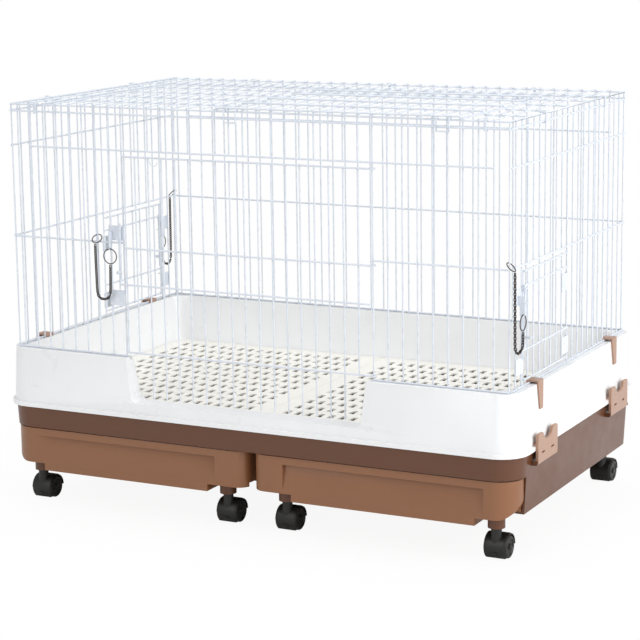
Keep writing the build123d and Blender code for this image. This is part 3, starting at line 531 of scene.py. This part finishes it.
class CAGE_OT_tray(bpy.types.Operator):
    """Finishes the white tray with softened edges."""

    bl_idname = "cage.tray"
    bl_label = "White tray"

    def execute(self, context):
        white = moulded("tray_white", colours().tray, gloss=0.3, grain=0.03 * mm, coat=0.25)
        finished_copy(
            "upper_tray", white, sizes().edge_round, 3, reshape=self.steepen_entry
        )
        return {"FINISHED"}

    def steepen_entry(self, bm):
        """Moves the slanted sides of the entry out at the sill, so that they stand steeper."""
        sill = 205 * mm
        rim = 294 * mm
        middle = -6.9 * mm
        back_of_front_wall = -250 * mm
        slant_start = 190 * mm
        slant_end = 250 * mm
        for vert in bm.verts:
            out = vert.co.x - middle
            if vert.co.z < sill or vert.co.y > back_of_front_wall:
                continue
            if slant_start < abs(out) < slant_end:
                share = min(1.0, max(0.0, (rim - vert.co.z) / (rim - sill)))
                vert.co.x += share * sizes().entry_widening * (1 if out > 0 else -1)


class CAGE_OT_grates(bpy.types.Operator):
    """Moulds the two floor grates with all their slots."""

    bl_idname = "cage.grates"
    bl_label = "Floor grates"

    def execute(self, context):
        size = sizes()
        edge = 0.6 * mm
        white = moulded("grate_white", colours().grate, gloss=0.36, grain=0.03 * mm)
        for side in ("left", "right"):
            node = "floor_grate_" + side
            low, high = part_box(node)
            mesh = self.plate(node, low, high, size)
            piece = add_piece(node + "_slotted", mesh, "root", white)
            wall = piece.modifiers.new("thickness", "SOLIDIFY")
            wall.thickness = high.z - low.z
            wall.offset = -1
            soften(piece, edge, angle=40)
            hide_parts(node)
        return {"FINISHED"}

    def stops(self, low, high, pitch, opening, border):
        """Cut lines across one direction: the ends, and both sides of every opening."""
        count = int((high - low - 2 * border - opening) / pitch) + 1
        start = (low + high - (count - 1) * pitch) / 2
        lines = [low]
        for index in range(count):
            centre = start + index * pitch
            lines += [centre - opening / 2, centre + opening / 2]
        return lines + [high]

    def plate(self, name, low, high, size):
        across = self.stops(low.x, high.x, size.column_pitch, size.slot_width, size.grate_border)
        along = self.stops(low.y, high.y, size.row_pitch, size.slot_length, size.grate_border)
        columns = len(across) - 1
        rows = len(along) - 1
        bm = bmesh.new()
        bmesh.ops.create_grid(bm, x_segments=columns, y_segments=rows, size=0.5)
        slots = []
        for face in bm.faces:
            centre = face.calc_center_median()
            column = int((centre.x + 0.5) * columns)
            row = int((centre.y + 0.5) * rows)
            if column % 2 and row % 2:
                slots.append(face)
        for vert in bm.verts:
            column = round((vert.co.x + 0.5) * columns)
            row = round((vert.co.y + 0.5) * rows)
            vert.co = (across[column], along[row], high.z)
        bmesh.ops.delete(bm, geom=slots, context="FACES")
        corners = [vert for vert in bm.verts if len(vert.link_edges) == 2]
        bmesh.ops.bevel(
            bm, geom=corners, offset=size.grate_corner, offset_type="OFFSET", segments=5, profile=0.5,
            affect="VERTICES", material=-1,
        )
        return mesh_of(bm, name + "_slotted", 40)


class CAGE_OT_housing(bpy.types.Operator):
    """Finishes the brown lower housing."""

    bl_idname = "cage.housing"
    bl_label = "Lower housing"

    def execute(self, context):
        brown = moulded("housing_brown", colours().housing, gloss=0.36, grain=0.03 * mm, coat=0.15)
        finished_copy("lower_housing", brown, 0.8 * sizes().edge_round)
        return {"FINISHED"}


class CAGE_OT_drawers(bpy.types.Operator):
    """Finishes the two drawers with their finger scoops."""

    bl_idname = "cage.drawers"
    bl_label = "Drawers"

    def execute(self, context):
        tan = moulded("drawer_brown", colours().drawer, gloss=0.34, grain=0.05 * mm, coat=0.15)
        for side in ("left", "right"):
            node = "drawer_" + side
            finished_copy(node, tan, sizes().edge_round, 3, reshape=self.slope_scoop)
        return {"FINISHED"}

    def slope_scoop(self, bm):
        """Slopes the left end of the finger scoop."""
        shallowest = 10 * mm
        deepest = 12 * mm
        lowest = 120 * mm
        near = 1 * mm
        front = min(vert.co.y for vert in bm.verts)
        deep = [
            vert for vert in bm.verts
            if shallowest < vert.co.y - front < deepest and vert.co.z > lowest
        ]
        left = min(vert.co.x for vert in deep)
        for vert in deep:
            if vert.co.x < left + near:
                vert.co.x += sizes().scoop_run


class CAGE_OT_casters(bpy.types.Operator):
    """Fits eight swivel casters with turned twin wheels."""

    bl_idname = "cage.casters"
    bl_label = "Casters"

    def execute(self, context):
        black = moulded("caster_black", colours().caster, gloss=0.42, grain=0.05 * mm)
        size = sizes()
        weld = 0.005 * mm
        for spot in CASTER_SPOTS:
            frame_node = "caster_frame_" + spot
            finished_copy(frame_node, black, 1.2 * size.sheet_round, sharp=40)
            node = "caster_wheels_" + spot
            low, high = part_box(node)
            bm = bmesh.new()
            for face_x, back_x in ((low.x, low.x + WHEEL_WIDTH), (high.x, high.x - WHEEL_WIDTH)):
                self.wheel(bm, face_x, back_x, (low.y + high.y) / 2, (high.z + low.z) / 2, size)
            bmesh.ops.remove_doubles(bm, verts=bm.verts, dist=weld)
            bmesh.ops.recalc_face_normals(bm, faces=bm.faces)
            mesh = mesh_of(bm, node + "_turned", 35)
            piece = add_piece(node + "_turned", mesh, body_of_node(node), black)
            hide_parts(node)
            self.hood(spot, (low + high) / 2, size, black)
        return {"FINISHED"}

    def insets(self, radius):
        """How far a rounded corner stands in from the side and from the rim, in five steps."""
        turns = [step * pi / 8 for step in range(5)]
        return [(radius * (1 - cos(turn)), radius * (1 - sin(turn))) for turn in turns]

    def hood(self, spot, axle, size, black):
        """A moulded hood over both wheels, low at the front, with a catch near its front edge."""
        half = 20.3 * mm
        inner = size.hood_radius - 2.6 * mm
        shoulder = 4.5 * mm
        catch_size = (9 * mm, 6 * mm, 2.4 * mm)
        catch_round = 0.8 * mm
        outline = [(half, inner)]
        outline += [(half - side, size.hood_radius - rim) for side, rim in self.insets(shoulder)[1:]]
        outline += [(-along, out) for along, out in reversed(outline)]
        bm = bmesh.new()
        turn = Matrix.Rotation(pi / 2 + size.hood_drop, 3, "X")
        verts = [bm.verts.new(axle + turn @ Vector((along, 0, out))) for along, out in outline]
        face = bm.faces.new(verts)
        bmesh.ops.spin(
            bm, geom=list(face.verts) + list(face.edges) + [face], cent=axle, axis=(1, 0, 0),
            angle=-(pi + size.hood_drop), steps=30, use_duplicate=False,
        )
        catch = bmesh.ops.create_cube(bm, size=1)["verts"]
        place = Matrix.Rotation(pi / 2 + 0.45 * size.hood_drop, 4, "X")
        place = Matrix.Translation(axle) @ place @ Matrix.Translation((0, 0, size.hood_radius))
        shape = place @ Matrix.Diagonal((*catch_size, 1))
        bmesh.ops.transform(bm, matrix=shape, verts=catch)
        edges = list({edge for vert in catch for edge in vert.link_edges})
        bmesh.ops.bevel(
            bm, geom=edges, offset=catch_round, offset_type="OFFSET", segments=2, profile=0.5,
            affect="EDGES", material=-1,
        )
        bmesh.ops.holes_fill(bm, edges=bm.edges, sides=0)
        bmesh.ops.recalc_face_normals(bm, faces=bm.faces)
        mesh = mesh_of(bm, "caster_hood_" + spot, 35)
        add_piece("caster_hood_" + spot, mesh, "caster_" + spot, black)

    def wheel(self, bm, face_x, back_x, y, z, size):
        """A wheel turned about its axle, dished round its hub, from its outer face to its inner one."""
        inwards = 1 if back_x > face_x else -1
        width = abs(back_x - face_x)
        corner = self.insets(size.wheel_round)
        outline = [(depth * mm, radius * mm) for depth, radius in WHEEL_FACE]
        outline += [(side, WHEEL_RADIUS - rim) for side, rim in corner]
        outline += [(width - side, WHEEL_RADIUS - rim) for side, rim in reversed(corner)]
        outline += [(width, WHEEL_HUB), (width, WHEEL_BORE)]
        verts = [bm.verts.new((face_x + inwards * along, y, z + out)) for along, out in outline]
        edges = [bm.edges.new(pair) for pair in zip(verts, verts[1:] + verts[:1])]
        bmesh.ops.spin(
            bm, geom=verts + edges, cent=(0, y, z), axis=(1, 0, 0), angle=2 * pi, steps=40,
            use_merge=True, use_duplicate=False,
        )


class CAGE_OT_latches(bpy.types.Operator):
    """Finishes the keeper plates, bolts, rings and roof hooks."""

    bl_idname = "cage.latches"
    bl_label = "Latches and hooks"

    def execute(self, context):
        coat = bpy.data.materials["coated_wire"]
        thin = 0.6 * sizes().sheet_round
        finished_copy("latch_keepers", coat, thin)
        finished_copy("roof_hooks", coat, sizes().sheet_round)
        for wall in DOORS:
            finished_copy(wall + "_bolt", coat, thin)
        self.wire_loop("door_hook", *DOOR_HOOK, "front_door", coat)
        self.wire_loop("wall_hook", *WALL_HOOK, "root", coat)
        steel = bpy.data.materials["plated_steel"]
        rings = finished_copy("latch_rings", steel, sharp=90, flat=False)
        finer = rings.modifiers.new("finer", "SUBSURF")
        finer.levels = 1
        finer.render_levels = 1
        return {"FINISHED"}

    def wire_loop(self, name, middle, radius, body, material):
        """A half loop of wire that hangs from a rail."""
        wire = 0.9 * mm
        centre = Vector(middle) * mm
        start = centre + Vector((radius * mm, 0, 0))
        bm = bmesh.new()
        made = bmesh.ops.create_circle(
            bm, segments=8, radius=wire, matrix=Matrix.Translation(start), cap_ends=True,
        )
        faces = list({face for vert in made["verts"] for face in vert.link_faces})
        edges = list({edge for vert in made["verts"] for edge in vert.link_edges})
        bmesh.ops.spin(
            bm, geom=made["verts"] + edges + faces, cent=centre, axis=(0, 1, 0), angle=pi, steps=14,
            use_duplicate=False,
        )
        bmesh.ops.holes_fill(bm, edges=bm.edges, sides=0)
        bmesh.ops.recalc_face_normals(bm, faces=bm.faces)
        add_piece(name, mesh_of(bm, name, 50), body, material)


class CAGE_OT_clips(bpy.types.Operator):
    """Finishes the tray clips and the hooks on the tray's rim."""

    bl_idname = "cage.clips"
    bl_label = "Clips"

    def execute(self, context):
        rose = moulded("clip_tan", colours().clip, gloss=0.3, grain=0.03 * mm, coat=0.2)
        for node in CLIP_NODES + ["cage_clips"]:
            finished_copy(node, rose, 2 * sizes().sheet_round, 3)
        return {"FINISHED"}


class CAGE_OT_stage(bpy.types.Operator):
    """Adds the pale floor, the soft lights and the plain world."""

    bl_idname = "cage.stage"
    bl_label = "Stage"

    def execute(self, context):
        self.floor()
        self.lamp("key_light", (4.0, -0.6, 1.8), 2.6, 116)
        self.lamp("front_fill", (-1.0, -4.4, 2.4), 3.2, 54)
        self.lamp("top_light", (-0.2, 0.4, 3.6), 3.4, 70)
        self.world(context.scene)
        context.scene.view_settings.view_transform = "Standard"
        return {"FINISHED"}

    def floor(self):
        bm = bmesh.new()
        bmesh.ops.create_grid(bm, x_segments=1, y_segments=1, size=30)
        mesh = bpy.data.meshes.new("floor")
        bm.to_mesh(mesh)
        bm.free()
        finish = Finish("floor")
        finish.set(base_color=(0.86, 0.86, 0.86, 1.0), roughness=0.8)
        place = finish.place()
        far = finish.stretch(
            finish.node("ShaderNodeVectorMath", {"operation": "LENGTH"}, {0: place}, "Value"),
            0.4, 1.0, 0.92, 1.0,
        )
        seen = finish.node("ShaderNodeLightPath", {}, {}, "Is Camera Ray")
        glow = finish.node("ShaderNodeEmission", {}, {"Color": (1, 1, 1, 1), "Strength": 1.0})
        mix = finish.tree.nodes.new("ShaderNodeMixShader")
        finish.plug(mix.inputs[0], far * seen)
        finish.tree.links.new(finish.shader.outputs[0], mix.inputs[1])
        finish.tree.links.new(glow.socket, mix.inputs[2])
        output = finish.tree.nodes["Material Output"]
        finish.tree.links.new(mix.outputs[0], output.inputs["Surface"])
        floor = bpy.data.objects.new("floor", mesh)
        bpy.context.scene.collection.objects.link(floor)
        mesh.materials.append(finish.material)

    def lamp(self, name, place, width, power):
        data = bpy.data.lights.new(name, "AREA")
        data.size = width
        data.energy = power
        lamp = bpy.data.objects.new(name, data)
        bpy.context.scene.collection.objects.link(lamp)
        lamp.location = place
        middle = Vector((0, 0, 0.35))
        lamp.rotation_euler = (middle - Vector(place)).to_track_quat("-Z", "Y").to_euler()

    def world(self, scene):
        world = bpy.data.worlds.new("plain_world")
        world.use_nodes = True
        tree = world.node_tree
        light = tree.nodes["Background"]
        light.inputs["Color"].default_value = (1, 1, 1, 1)
        light.inputs["Strength"].default_value = 0.5
        white = tree.nodes.new("ShaderNodeBackground")
        white.inputs["Color"].default_value = (1, 1, 1, 1)
        path = tree.nodes.new("ShaderNodeLightPath")
        mix = tree.nodes.new("ShaderNodeMixShader")
        tree.links.new(path.outputs["Is Camera Ray"], mix.inputs[0])
        tree.links.new(light.outputs[0], mix.inputs[1])
        tree.links.new(white.outputs[0], mix.inputs[2])
        tree.links.new(mix.outputs[0], tree.nodes["World Output"].inputs["Surface"])
        scene.world = world


OPERATORS = (
    CAGE_OT_camera, CAGE_OT_chains, CAGE_OT_wires, CAGE_OT_tray, CAGE_OT_grates, CAGE_OT_housing,
    CAGE_OT_drawers, CAGE_OT_casters, CAGE_OT_latches, CAGE_OT_clips, CAGE_OT_stage,
)


class CAGE_PT_panel(bpy.types.Panel):
    """Lists the cage's sizes, colours and operators."""

    bl_label = "Wire Pet Cage"
    bl_idname = "CAGE_PT_panel"
    bl_space_type = "VIEW_3D"
    bl_region_type = "UI"
    bl_category = "Cage"

    def draw(self, context):
        for operator in OPERATORS:
            self.layout.operator(operator.bl_idname)
        for group in (context.scene.cage_sizes, context.scene.cage_colours):
            for name in group.__annotations__:
                self.layout.prop(group, name)


def register():
    for item in (CageSizes, CageColours, *OPERATORS, CAGE_PT_panel):
        bpy.utils.register_class(item)
    bpy.types.Scene.cage_sizes = bpy.props.PointerProperty(type=CageSizes)
    bpy.types.Scene.cage_colours = bpy.props.PointerProperty(type=CageColours)


def unregister():
    del bpy.types.Scene.cage_colours
    del bpy.types.Scene.cage_sizes
    for item in (CAGE_PT_panel, *reversed(OPERATORS), CageColours, CageSizes):
        bpy.utils.unregister_class(item)


def main():
    register()
    for operator in OPERATORS:
        group, name = operator.bl_idname.split(".")
        getattr(getattr(bpy.ops, group), name)()


if __name__ == "__main__":
    main()
